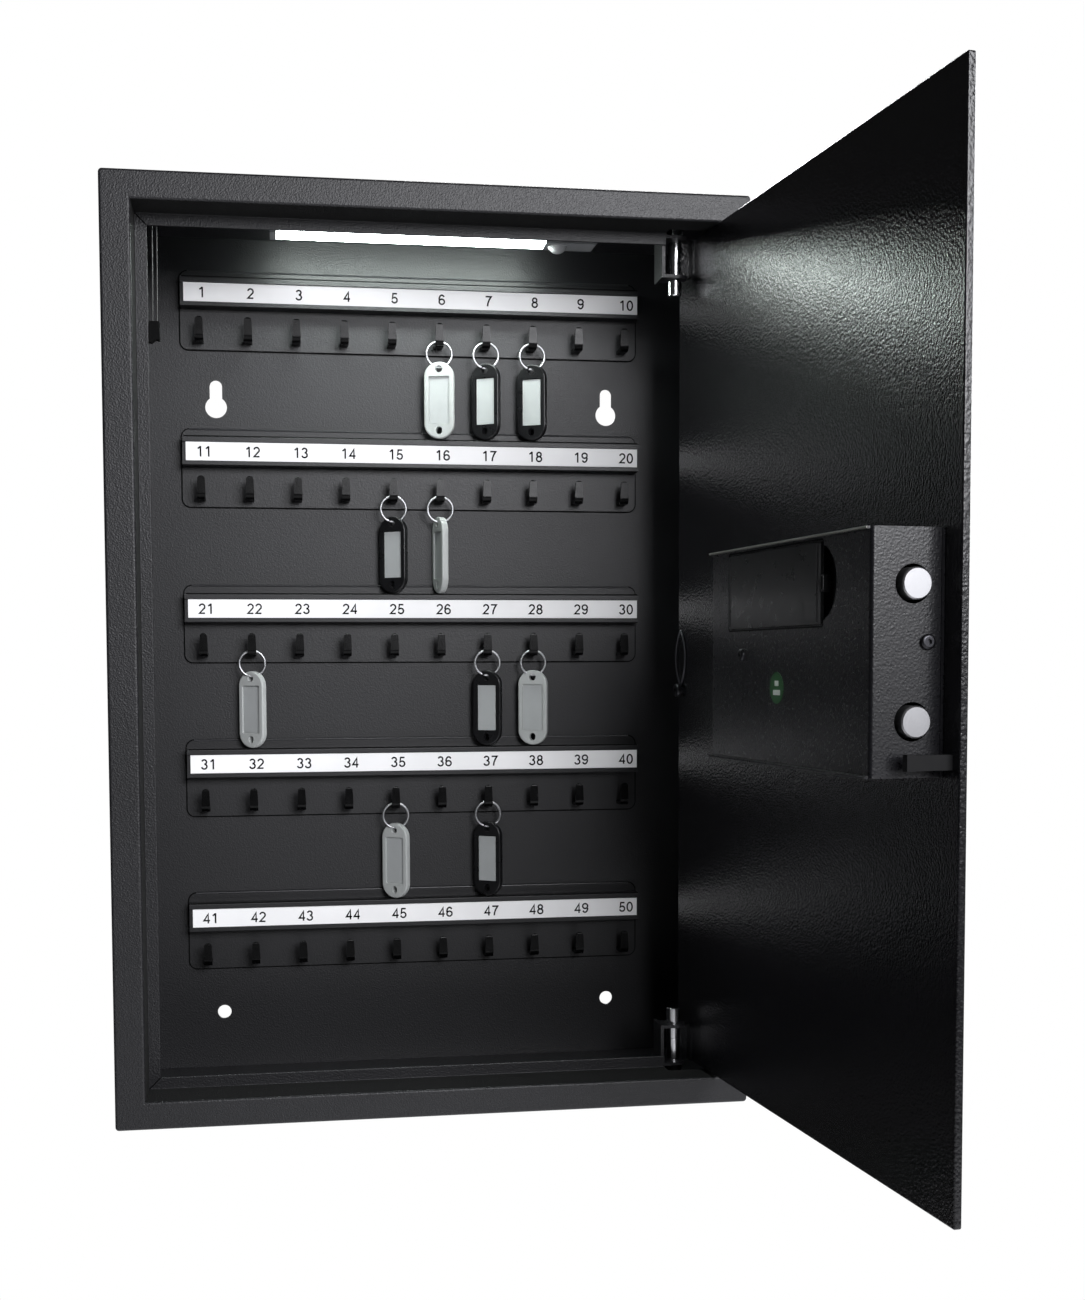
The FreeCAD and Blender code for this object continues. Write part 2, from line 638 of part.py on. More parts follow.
def bolt_carriage():
    """Sliding plate that carries both bolts, with the crank's slot and the solenoid's notch."""
    back = BOLT_TIP + BOLT_LENGTH
    pin = crank_pin_start()
    y0, y1 = BOLT_Y - CARRIAGE_SHEET / 2, BOLT_Y + CARRIAGE_SHEET / 2
    reach = BOLT_SPREAD + BOLT_RADIUS + 2
    bar = rounded_plate(back - 6, back + 5, -reach, reach, y0, y1, 2.0)
    arm_low, arm_high = pin.z - 7, pin.z + 9
    arm = rounded_plate(back, pin.x + 38, arm_low, arm_high, y0, y1, 2.0)
    half = CRANK_PIN_RADIUS + CRANK_PIN_PLAY
    slot = rounded_plate(pin.x - half, pin.x + half, pin.z - 3.4, pin.z + 6.2, y0 - 1, y1 + 1, half - 0.1)
    notch = box(solenoid_x() + BOLT_THROW - 3.5, solenoid_x() + BOLT_THROW + 3.5, y0 - 1, y1 + 1, arm_low - 1, arm_low + 4)
    return union([bar, arm]).cut(slot).cut(notch)


def solenoid_x():
    """Centre line of the blocking solenoid."""
    return crank_pin_start().x + 12.0


def solenoid():
    """Coil frame below the carriage's arm, with the plunger's bore."""
    x = solenoid_x()
    top = crank_pin_start().z - 7 - 6.0
    block = box(x - 9, x + 9, DOOR_IN + 1, DOOR_IN + 21, top - 26, top)
    block = block.makeChamfer(1.0, upright_edges(block))
    foot = box(x - 9, x + 9, DOOR_IN, DOOR_IN + 1, top - 30, top + 2)
    bore = rod(3.05, V(x, BOLT_Y, top - 22), V(x, BOLT_Y, top + 1))
    return union([block, foot]).cut(bore)


def plunger():
    """Sprung plunger whose tip rests under the carriage's arm."""
    x = solenoid_x()
    arm = crank_pin_start().z - 7
    return union([
        rod(3.0, V(x, BOLT_Y, arm - 6 - 17), V(x, BOLT_Y, arm - 0.3)),
    ])


def knob():
    """Turning knob with a round skirt and a raised grip."""
    y1 = DOOR_OUT - 0.5
    y0 = y1 - KNOB_LENGTH
    skirt = rod(KNOB_RADIUS, V(KNOB_X, y1 - 6, KNOB_Z), V(KNOB_X, y1, KNOB_Z))
    skirt = skirt.makeFillet(1.5, [e for e in skirt.Edges if abs(e.CenterOfMass.y - (y1 - 6)) < EPS])
    grip = rounded_plate(KNOB_X - 5, KNOB_X + 5, KNOB_Z - 15.5, KNOB_Z + 15.5, y0, y1 - 5, 4.5)
    grip = grip.makeFillet(1.5, [e for e in grip.Edges if abs(e.CenterOfMass.y - y0) < EPS])
    socket = rod(SHAFT_RADIUS, V(KNOB_X, y1 - 8, KNOB_Z), V(KNOB_X, y1 + 1, KNOB_Z))
    return union([skirt, grip]).cut(socket)


def knob_shaft():
    """Shaft through the door with its crank arm and crank pin."""
    pin = crank_pin_start()
    y = DOOR_IN + 2.0
    shaft = rod(SHAFT_RADIUS, V(KNOB_X, DOOR_OUT - 8.5, KNOB_Z), V(KNOB_X, y + 3, KNOB_Z))
    arm = plan_profile([(-4, 0, 0), (4, 0, 0), (4, 3, 0), (-4, 3, 0)], 0, CRANK_RADIUS)
    arm.rotate(V(0, 0, 0), V(0, 1, 0), CRANK_SWING)
    arm.translate(V(KNOB_X, y, KNOB_Z))
    end = rod(4.0, V(pin.x, y, pin.z), V(pin.x, y + 3, pin.z))
    stud = rod(CRANK_PIN_RADIUS, V(pin.x, y, pin.z), V(pin.x, BOLT_Y + 4, pin.z))
    return union([shaft, arm, end, stud])


def override_plug():
    """Keyed plug of the emergency lock, with its key slot and inner cam."""
    front = DOOR_OUT - 3.0
    plug = rod(OVERRIDE_RADIUS, V(OVERRIDE_X, front, KNOB_Z), V(OVERRIDE_X, DOOR_IN + 12, KNOB_Z))
    key = box(OVERRIDE_X - 0.9, OVERRIDE_X + 0.9, front - 1, front + 9, KNOB_Z - 3.5, KNOB_Z + 3.5)
    cam = rounded_plate(OVERRIDE_X - 5, OVERRIDE_X + 5, KNOB_Z - 20, KNOB_Z + 5, DOOR_IN + 12, DOOR_IN + 14, 3.0)
    return union([plug, cam]).cut(key)


def keypad_bezel():
    """Frame of the keypad on the door's outer face."""
    half = KEYPAD_WIDTH / 2
    low, high = KEYPAD_Z - KEYPAD_HEIGHT / 2, KEYPAD_Z + KEYPAD_HEIGHT / 2
    y0 = DOOR_OUT - KEYPAD_THICK
    body = rounded_plate(KNOB_X - half, KNOB_X + half, low, high, y0, DOOR_OUT, 8.0)
    rim = [e for e in body.Edges if abs(e.CenterOfMass.y - y0) < EPS]
    body = body.makeFillet(2.5, rim)
    seat = rounded_plate(KNOB_X - half + 6, KNOB_X + half - 6, low + 6, high - 6, y0 - 1, y0 + 1.2, 4.0)
    return body.cut(seat)


def keypad_face():
    """Touch panel set into the bezel, with twelve shallow raised key fields and a display window."""
    half = KEYPAD_WIDTH / 2
    low, high = KEYPAD_Z - KEYPAD_HEIGHT / 2, KEYPAD_Z + KEYPAD_HEIGHT / 2
    y1 = DOOR_OUT - KEYPAD_THICK + 1.2
    y0 = y1 - 1.0
    pieces = [rounded_plate(KNOB_X - half + 6.1, KNOB_X + half - 6.1, low + 6.1, high - 6.1, y0, y1, 3.9)]
    for column in range(3):
        for line in range(4):
            x = KNOB_X + (column - 1) * 19.5
            z = low + 14 + line * 15.0
            pieces.append(rounded_plate(x - 7.5, x + 7.5, z - 5.2, z + 5.2, y0 - 0.3, y0, 2.0))
    return union(pieces)


def circuit_board():
    """Control board on the floor of the housing with its larger parts."""
    y = DOOR_IN + 4.0
    left, right = -2.0, 25.0
    low, high = -50.0, 10.0
    board = box(left, right, y, y + 1.6, low, high)
    chip = box(6, 18, y + 1.6, y + 3.4, -18, -6)
    plug = box(8, 22, y + 1.6, y + 8.0, 0, 6)
    capacitor = rod(4.0, V(20, y + 1.6, -36), V(20, y + 12, -36))
    feet = [rod(2.5, V(x, DOOR_IN, z), V(x, y, z)) for x in (left + 4, right - 4) for z in (low + 4, high - 4)]
    return union([board, chip, plug, capacitor] + feet)


def button_screw(centre, inward, length, head_radius):
    """Button-head screw with a hex socket: centre of the seat, the way its shank points, and its sizes."""
    head_high = head_radius * 0.6
    out = V(inward).negative()
    head = Part.makeCylinder(head_radius, head_high, centre, out)
    top = [e for e in head.Edges if (e.CenterOfMass - centre).dot(out) > head_high / 2 and e.Length > 5]
    head = head.makeFillet(1.4, [e for e in top if abs(e.Length - 2 * math.pi * head_radius) < 0.1])
    shank = Part.makeCylinder(SCREW_RADIUS, length, centre, inward)
    across = 2.5 / math.sqrt(3)
    start = centre + out * (head_high + 0.5)
    socket = Part.makePolygon([start + turn_about(inward, across, a) for a in range(0, 361, 60)])
    return union([head, shank]).cut(Part.Face(socket).extrude(V(inward) * 1.8))


def turn_about(axis, radius, degrees):
    """Point of a circle round an axis."""
    side = V(0, 0, 1)
    other = V(axis).cross(side)
    a = math.radians(degrees)
    return side * (radius * math.cos(a)) + other * (radius * math.sin(a))


def screw_places():
    """Seat, direction and length of each screw: housing side, housing face and door spring."""
    return [
        (V(BOX_LEFT, BOLT_Y - 7, 4.8), V(1, 0, 0), 6.0, 3.6),
        (V(FACE_SCREW_X, BOX_FACE, FACE_SCREW_Z), V(0, -1, 0), 7.0, 3.3),
        (V(spring_x(), DOOR_IN + 2 * SPRING_WIRE + 0.6, spring_low()), V(0, -1, 0), 4.6, 4.3),
    ]


def screws():
    """Screws of the housing and of the door spring."""
    return [button_screw(*place) for place in screw_places()]


def drilled(shape):
    """The piece with the holes that the screws' shanks fill."""
    for centre, inward, length, _ in screw_places():
        shape = shape.cut(Part.makeCylinder(SCREW_RADIUS, length, centre, inward))
    return shape


def housing_anchors():
    """Block and post welded to the door that the housing's screws bite into."""
    block = box(BOX_LEFT + BOX_SHEET, BOX_LEFT + BOX_SHEET + 8, DOOR_IN, BOLT_Y - 2, -1, 10)
    seat = V(FACE_SCREW_X, BOX_FACE - BOX_SHEET, FACE_SCREW_Z)
    return [block, rod(4.0, V(seat.x, DOOR_IN, seat.z), seat)]


def spring_x():
    """Line of the door spring, near the hinge edge."""
    return DOOR_RIGHT - 5.0


def spring_low():
    """Height of the door spring's screw."""
    return -21.5


def bow_spring():
    """Two-strand wire on the door's inner face that cushions the door, with an eye round its screw."""
    wire = SPRING_WIRE
    x, low = spring_x(), spring_low()
    eye = 2.9
    high = low + 38.0
    start = V(x, DOOR_IN + wire, low + eye)
    end = V(x, DOOR_IN + wire, high)
    middle = (low + high) / 2 + 2
    strands = []
    for peak in (V(x, DOOR_IN + 3.6, middle), V(x - 8.0, DOOR_IN + wire, middle)):
        bow = Part.Arc(start, peak, end).toShape()
        ring = Part.Wire([Part.makeCircle(wire, start, bow.tangentAt(bow.FirstParameter))])
        strands.append(Part.Wire([bow]).makePipeShell([ring], True, False))
    loop = Part.makeTorus(eye, wire, V(x, DOOR_IN + wire, low), V(0, 1, 0))
    return union(strands + [loop]).common(box(x - 12, x + 5, DOOR_IN, DOOR_IN + 12, low - 6, high + 6))


def stop_tab():
    """Flat bar that stands off the door near the lower bolt, with a rubber-tipped end."""
    return union([
        box(-164.6, -161.1, DOOR_IN, DOOR_IN + 21.0, -51.8, -44.9),
        box(-164.8, -160.9, DOOR_IN + 18.0, DOOR_IN + 22.3, -52.1, -44.6),
    ])


# ---- key tags ------------------------------------------------------------------------------------------
def tag_place(number):
    """Middle of the tag's hook and the top edge of its row's strip."""
    row, place = divmod(number - 1, HOOKS_PER_ROW)
    return hook_x(place), strip_top(row)


def ring_centre(number):
    """Centre of a tag's ring, which hangs from the trough."""
    x, top = tag_place(number)
    return V(x, -TAG_STAND, top - TROUGH_DROP + RING_PLAY - (RING_RADIUS - RING_WIRE))


def key_ring(number, play=0.0):
    """Wire ring that hangs in the hook's trough and passes through the tag's eye."""
    return Part.makeTorus(RING_RADIUS, RING_WIRE + play, ring_centre(number), V(0, 1, 0))


def key_tag(number):
    """Moulded tag: rounded ends, a sunk label window on both faces, an eye for the ring and a slot below."""
    x, top = tag_place(number)
    half, thick = TAG_WIDTH / 2, TAG_THICK / 2
    high = top - TAG_DROP
    low = high - TAG_HEIGHT
    body = rounded_plate(-half, half, low, high, -thick, thick, half - 0.01)
    rims = [e for e in body.Edges if abs(abs(e.CenterOfMass.y) - thick) < EPS]
    body = body.makeFillet(1.1, rims)
    window = rounded_plate(-half + TAG_RIM, half - TAG_RIM, low + 9.5, high - 9.5, TAG_WEB / 2, thick + 1, 0.8)
    body = body.cut(window)
    window.rotate(V(0, 0, 0), V(0, 0, 1), 180)
    body = body.cut(window)
    eye = rod(2.3, V(0, -thick - 1, high - 4.8), V(0, thick + 1, high - 4.8))
    slot = rounded_plate(-2.0, 2.0, low + 3.0, low + 8.0, -thick - 1, thick + 1, 1.9)
    body = body.cut(eye).cut(slot)
    body.rotate(V(0, 0, 0), V(0, 0, 1), -TAG_TURN[number])
    body.translate(V(x, -TAG_STAND, 0))
    return body.cut(key_ring(number, 0.05))


# ---- output --------------------------------------------------------------------------------------------
def nodes():
    """Every node with its solids, the door's already turned open."""
    upper_bracket, upper_pin, upper_lug = hinge_bracket(), hinge_pin(), hinge_lug()
    top_panel = end_panel()
    around = envelope()
    fixed = {
        "left_side_panel": [side_panel(False).common(around)],
        "right_side_panel": [side_panel(True).common(around)],
        "top_panel": [top_panel.common(around)],
        "bottom_panel": [mirrored_z(top_panel).common(around)],
        "back_panel": [back_panel().common(around)],
        "hinge_brackets": [upper_bracket, mirrored_z(upper_bracket)],
        "number_strips": [number_strip(row) for row in range(ROWS)],
        "led_housing": [light_housing()],
        "led_diffuser": [light_lens()],
        "led_sensor_dome": [sensor_dome()],
    }
    for row in range(ROWS):
        fixed[f"hook_rail_{row + 1}"] = [hook_rail(row)]
        fixed[f"hooks_row_{row + 1}"] = [hook(row, place) for place in range(HOOKS_PER_ROW)]
    for number in TAG_TURN:
        fixed[f"key_ring_{number:02d}"] = [key_ring(number)]
        fixed[f"key_tag_{number:02d}"] = [key_tag(number)]
    swinging = {
        "door_panel": [door_panel()],
        "hinge_pins": [upper_pin, mirrored_z(upper_pin)],
        "hinge_lugs": [upper_lug, mirrored_z(upper_lug)],
        "lock_housing": [lock_housing()],
        "button_screws": screws(),
        "bow_spring": [bow_spring()],
        "stop_tab": [stop_tab()],
        "keypad_bezel": [keypad_bezel()],
        "keypad_face": [keypad_face()],
        "battery_box": [battery_box()],
        "batteries": battery_cells(),
        "circuit_board": [circuit_board()],
        "solenoid": [solenoid()],
        "solenoid_plunger": [plunger()],
        "battery_cover": [battery_cover()],
        "bolt_carriage": [bolt_carriage()],
        "locking_bolts": [locking_bolt(z) for z in bolt_centres()],
        "knob": [knob()],
        "knob_shaft": [knob_shaft()],
        "override_plug": [override_plug()],
    }
    for name, solids in swinging.items():
        fixed[name] = [opened(solid) for solid in solids]
    return fixed


os.makedirs("parts", exist_ok=True)
for name, shapes in nodes().items():
    whole = shapes[0] if len(shapes) == 1 else Part.makeCompound(shapes)
    solids = whole.Solids
    valid = whole.isValid() and all(s.Volume > 0 for s in solids)
    print(f"{name}: {len(solids)} solid(s), {whole.Volume / 1000:.2f} cm3, {'valid' if valid else 'NOT VALID'}")
    whole.exportStep(f"parts/{name}.step")
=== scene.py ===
"""Looks of a wall-mounted electronic key cabinet with its door open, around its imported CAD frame. Metres."""

import math

import bmesh
import bpy
from mathutils import Matrix, Vector


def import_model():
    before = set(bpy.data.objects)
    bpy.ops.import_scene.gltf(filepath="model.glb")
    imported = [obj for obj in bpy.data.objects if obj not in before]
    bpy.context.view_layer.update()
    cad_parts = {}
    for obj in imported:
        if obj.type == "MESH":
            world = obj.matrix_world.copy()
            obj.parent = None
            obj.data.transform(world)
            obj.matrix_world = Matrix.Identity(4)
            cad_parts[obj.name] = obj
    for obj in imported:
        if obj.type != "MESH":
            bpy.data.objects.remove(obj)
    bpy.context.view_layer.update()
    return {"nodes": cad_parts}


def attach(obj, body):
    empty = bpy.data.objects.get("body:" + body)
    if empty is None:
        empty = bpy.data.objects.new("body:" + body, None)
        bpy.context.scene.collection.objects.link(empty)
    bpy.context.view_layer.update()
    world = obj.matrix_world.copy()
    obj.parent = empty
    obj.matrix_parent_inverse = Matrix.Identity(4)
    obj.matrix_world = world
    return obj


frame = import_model()
nodes = frame["nodes"]

# Lengths here are in millimetres unless a comment says otherwise; MM turns them into metres.
MM = 0.001
HINGE = Vector((153.0, -101.5, 0.0)) * MM
DOOR_OPEN = math.radians(96.4)
DOOR_IN = -111.5           # door's inner face with the door shut
BOX_FACE = -76.0           # lock housing's face with the door shut
BOX_LEFT = -155.5          # lock housing's free end with the door shut
BOX_HALF_HEIGHT = 55.0
KEYPAD_FACE = -124.62      # just in front of the keypad with the door shut
KEYPAD_X = -78.0
KEYPAD_LOW_ROW = 30.0      # height of the keypad's lowest row of signs
KEY_PITCH = (19.5, 15.0)
STICKER = (-57.5, BOX_FACE, -16.7)
STICKER_RADIUS = 7.9
COVER_CENTRE = (-52.25, BOX_FACE, 32.9)
STRIP_FACE = -12.0         # face of the number strips
TOP_STRIP = 242.5          # height of the first strip's top edge
ROW_PITCH = 102.0
HOOK_PITCH = 31.2
ROWS = 5
HOOKS = 10
TAG_STAND = 12.5           # tag centres, out from the wall face
TAG_MIDDLE_DROP = 72.25    # from a strip's top edge down to the middle of its tags
LABEL = (12.6, 30.2, 2.5)  # width, height and thickness of a tag's paper
TAG_TURN = {6: 15, 7: 33, 8: 30, 15: 36, 16: 76, 22: 38, 27: 28, 28: 22, 35: 38, 37: 33}
WHITE_TAGS = (6, 16, 22, 28, 35)
DIGIT_HEIGHT = 6.7
DIGIT_STROKE = 0.15        # per unit of height
DIGIT_SHIFT = 2.0          # number's centre, right of its hook
DIGIT_DROP = 6.1           # number's centre, below the strip's top edge
KEY_SIGN_HEIGHT = 5.0

# Metres: the returns between the front frame and the door stop lie within this box; shell_coat gives them painted
# shade.
RETURN_FRONT, RETURN_BACK = -0.1388, -0.1118
RETURN_HALF_WIDTH, RETURN_HALF_HEIGHT = 0.1760, 0.2600

OPEN_DOOR = Matrix.Translation(HINGE) @ Matrix.Rotation(DOOR_OPEN, 4, "Z") @ Matrix.Translation(-HINGE)


# ---- materials -----------------------------------------------------------------------------------------
def material(name, color, rough=0.5, metal=0.0, **sockets):
    """Plain Principled material; constants sit on the shader's own sockets."""
    mat = bpy.data.materials.new(name)
    mat.use_nodes = True
    shader = mat.node_tree.nodes["Principled BSDF"]
    shader.inputs["Base Color"].default_value = (*color, 1)
    shader.inputs["Roughness"].default_value = rough
    shader.inputs["Metallic"].default_value = metal
    for key, value in sockets.items():
        shader.inputs[key.replace("_", " ")].default_value = value
    return mat


class Graph:
    """Small helper for adding nodes to a material."""

    def __init__(self, mat):
        self.tree = mat.node_tree
        self.shader = self.tree.nodes["Principled BSDF"]
        self.coords = self.add("ShaderNodeTexCoord").outputs["Object"]

    def add(self, kind, **values):
        node = self.tree.nodes.new(kind)
        for key, value in values.items():
            if key in node.bl_rna.properties:
                setattr(node, key, value)
            else:
                node.inputs[key.replace("_", " ")].default_value = value
        return node

    def link(self, out, into):
        self.tree.links.new(out, into)

    def mapped(self, scale, turn=(0, 0, 0)):
        node = self.add("ShaderNodeMapping")
        node.inputs["Scale"].default_value = scale
        node.inputs["Rotation"].default_value = turn
        self.link(self.coords, node.inputs["Vector"])
        return node.outputs["Vector"]

    def noise(self, scale, detail=2.0, rough=0.5, vector=None, distortion=0.0):
        node = self.add("ShaderNodeTexNoise", Scale=scale, Detail=detail, Roughness=rough, Distortion=distortion)
        self.link(vector or self.coords, node.inputs["Vector"])
        return node.outputs["Fac"]

    def cells(self, scale):
        node = self.add("ShaderNodeTexVoronoi", feature="SMOOTH_F1", Scale=scale)
        self.link(self.coords, node.inputs["Vector"])
        return node.outputs["Distance"]

    def ramp(self, fac, stops):
        node = self.add("ShaderNodeValToRGB")
        ramp = node.color_ramp
        while len(ramp.elements) < len(stops):
            ramp.elements.new(0.5)
        for element, (place, color) in zip(ramp.elements, stops):
            element.position = place
            element.color = (*color, 1) if len(color) == 3 else color
        self.link(fac, node.inputs["Fac"])
        return node.outputs["Color"]

    def span(self, fac, low, high):
        node = self.add("ShaderNodeMapRange", To_Min=low, To_Max=high)
        self.link(fac, node.inputs["Value"])
        return node.outputs["Result"]

    def maths(self, operation, a, b):
        node = self.add("ShaderNodeMath", operation=operation)
        for socket, value in zip(node.inputs, (a, b)):
            if isinstance(value, (int, float)):
                socket.default_value = value
            else:
                self.link(value, socket)
        return node.outputs["Value"]

    def bump(self, height, strength, distance):
        node = self.add("ShaderNodeBump", Strength=strength, Distance=distance)
        self.link(height, node.inputs["Height"])
        if self.shader.inputs["Normal"].links:
            self.link(self.shader.inputs["Normal"].links[0].from_socket, node.inputs["Normal"])
        self.link(node.outputs["Normal"], self.shader.inputs["Normal"])

    def color(self, out):
        self.link(out, self.shader.inputs["Base Color"])

    def rough(self, out):
        self.link(out, self.shader.inputs["Roughness"])


def shade(color, factor):
    return tuple(c * factor for c in color)


def powder_coat(name, color, rough, grain, depth, wrinkle=0.0, spread=0.18, **sockets):
    """Textured powder coat: rounded grain of the given size in metres, with faint blotches and dust."""
    mat = material(name, color, rough, **sockets)
    g = Graph(mat)
    scale = 1.0 / grain
    height = g.cells(scale)
    fine = g.noise(scale * 2.3, 3.0, 0.6)
    height = g.maths("ADD", g.maths("MULTIPLY", height, 0.8), g.maths("MULTIPLY", fine, 0.35))
    if wrinkle:
        bent = g.mapped((1.0, 1.0, 0.62), (0.0, math.radians(38), 0.0))
        folds = g.noise(scale * 0.55, 2.0, 0.5, bent, 1.2)
        height = g.maths("ADD", height, g.maths("MULTIPLY", folds, wrinkle))
    g.bump(height, 1.0, depth)
    cloud = g.noise(9.0, 4.0, 0.6)
    g.color(g.ramp(cloud, [(0.3, shade(color, 1 - spread)), (0.7, shade(color, 1 + spread))]))
    g.rough(g.span(g.noise(scale * 0.7, 2.0), rough - 0.06, rough + 0.08))
    return mat


def brushed(name, color, rough, grain=(900, 900, 900), depth=0.00002, **sockets):
    """Metal with fine scratches stretched along the axis of the smallest grain value."""
    mat = material(name, color, rough, 1.0, **sockets)
    g = Graph(mat)
    lines = g.noise(1.0, 3.0, 0.6, g.mapped(grain))
    g.bump(lines, 0.5, depth)
    g.rough(g.span(lines, rough - 0.08, rough + 0.12))
    g.color(g.ramp(g.noise(60.0, 3.0), [(0.35, shade(color, 0.9)), (0.65, color)]))
    return mat


def moulded(name, color, rough, depth=0.00003, scale=1600.0, spread=0.08, **sockets):
    """Moulded plastic with a fine spark-eroded grain and slight flow marks."""
    mat = material(name, color, rough, **sockets)
    g = Graph(mat)
    g.bump(g.noise(scale, 2.0), 0.6, depth)
    g.color(g.ramp(g.noise(55.0, 3.0), [(0.35, shade(color, 1 - spread)), (0.65, shade(color, 1 + spread))]))
    g.rough(g.span(g.noise(140.0, 3.0), rough - 0.05, rough + 0.07))
    return mat


def printed_strip():
    """White printed strip, very slightly mottled."""
    color = (0.95, 0.95, 0.95)
    mat = material("strip_print", color, 0.55, Specular_IOR_Level=0.12)
    g = Graph(mat)
    g.color(g.ramp(g.noise(25.0, 3.0), [(0.3, shade(color, 0.96)), (0.7, shade(color, 1.03))]))
    g.bump(g.noise(2500.0, 2.0), 0.3, 0.00001)
    return mat


def shell_coat():
    """Wrinkled powder coat with painted shade on the deep returns round the door opening: darker there, and duller.
    """
    mat = powder_coat("shell_coat", GREY, 0.42, 0.0009, 0.00020, 0.7)
    g = Graph(mat)
    sides = g.add("ShaderNodeSeparateXYZ")
    g.link(g.coords, sides.inputs[0])
    # Painted shade: on the returns the colour drops to 6 percent of the coat's and the roughness rises to 0.85.
    deep = g.maths("MULTIPLY", g.maths("GREATER_THAN", sides.outputs["Y"], RETURN_FRONT),
                   g.maths("LESS_THAN", sides.outputs["Y"], RETURN_BACK))
    wide = g.maths("LESS_THAN", g.maths("ABSOLUTE", sides.outputs["X"], 0.0), RETURN_HALF_WIDTH)
    tall = g.maths("LESS_THAN", g.maths("ABSOLUTE", sides.outputs["Z"], 0.0), RETURN_HALF_HEIGHT)
    painted_shade_mask = g.maths("MULTIPLY", deep, g.maths("MULTIPLY", wide, tall))
    # A Mix node has its own numbered sockets for each kind of data: the two inputs and the result.
    for socket, kind, (first, second, result), shade_and_matte in (
            ("Base Color", "RGBA", (6, 7, 2), (*shade(GREY, 0.06), 1)),
            ("Roughness", "FLOAT", (2, 3, 0), 0.85)):
        mix = g.add("ShaderNodeMix", data_type=kind)
        g.link(painted_shade_mask, mix.inputs[0])
        g.link(g.shader.inputs[socket].links[0].from_socket, mix.inputs[first])
        mix.inputs[second].default_value = shade_and_matte
        g.link(mix.outputs[result], g.shader.inputs[socket])
    return mat


def glowing_lens():
    """Opal diffuser lit from behind, a touch brighter over each lamp."""
    mat = material("lens_glow", (0.9, 0.95, 0.92), 0.35, Emission_Strength=LENS_POWER)
    g = Graph(mat)
    wave = g.add("ShaderNodeTexWave", Scale=19.0, Distortion=0.0)
    g.link(g.coords, wave.inputs["Vector"])
    glow = g.ramp(wave.outputs["Fac"], [(0.0, (0.86, 1.0, 0.93)), (1.0, (0.94, 1.0, 0.97))])
    g.link(glow, g.shader.inputs["Emission Color"])
    g.bump(g.noise(1800.0, 2.0), 0.3, 0.00002)
    return mat


def battery_jacket():
    """Dark cell jacket with faint uneven gloss bands."""
    mat = material("cell_wrap", (0.006, 0.006, 0.007), 0.35)
    g = Graph(mat)
    g.color(g.ramp(g.noise(35.0, 2.0), [(0.45, (0.004, 0.004, 0.005)), (0.55, (0.010, 0.010, 0.012))]))
    g.bump(g.noise(900.0, 1.0), 0.2, 0.00002)
    return mat


def circuit():
    """Green solder mask with copper tracks showing through."""
    mat = material("solder_mask", (0.01, 0.12, 0.06), 0.35)
    g = Graph(mat)
    tracks = g.add("ShaderNodeTexBrick", Scale=140.0, Mortar_Size=0.06)
    g.link(g.coords, tracks.inputs["Vector"])
    greens = {"Color1": (0.010, 0.12, 0.06, 1), "Color2": (0.015, 0.15, 0.08, 1), "Mortar": (0.03, 0.24, 0.12, 1)}
    for key, value in greens.items():
        tracks.inputs[key].default_value = value
    g.color(tracks.outputs["Color"])
    g.bump(g.noise(1200.0, 2.0), 0.4, 0.00004)
    return mat


LENS_POWER = 38.0
GREY = (0.012, 0.012, 0.0138)

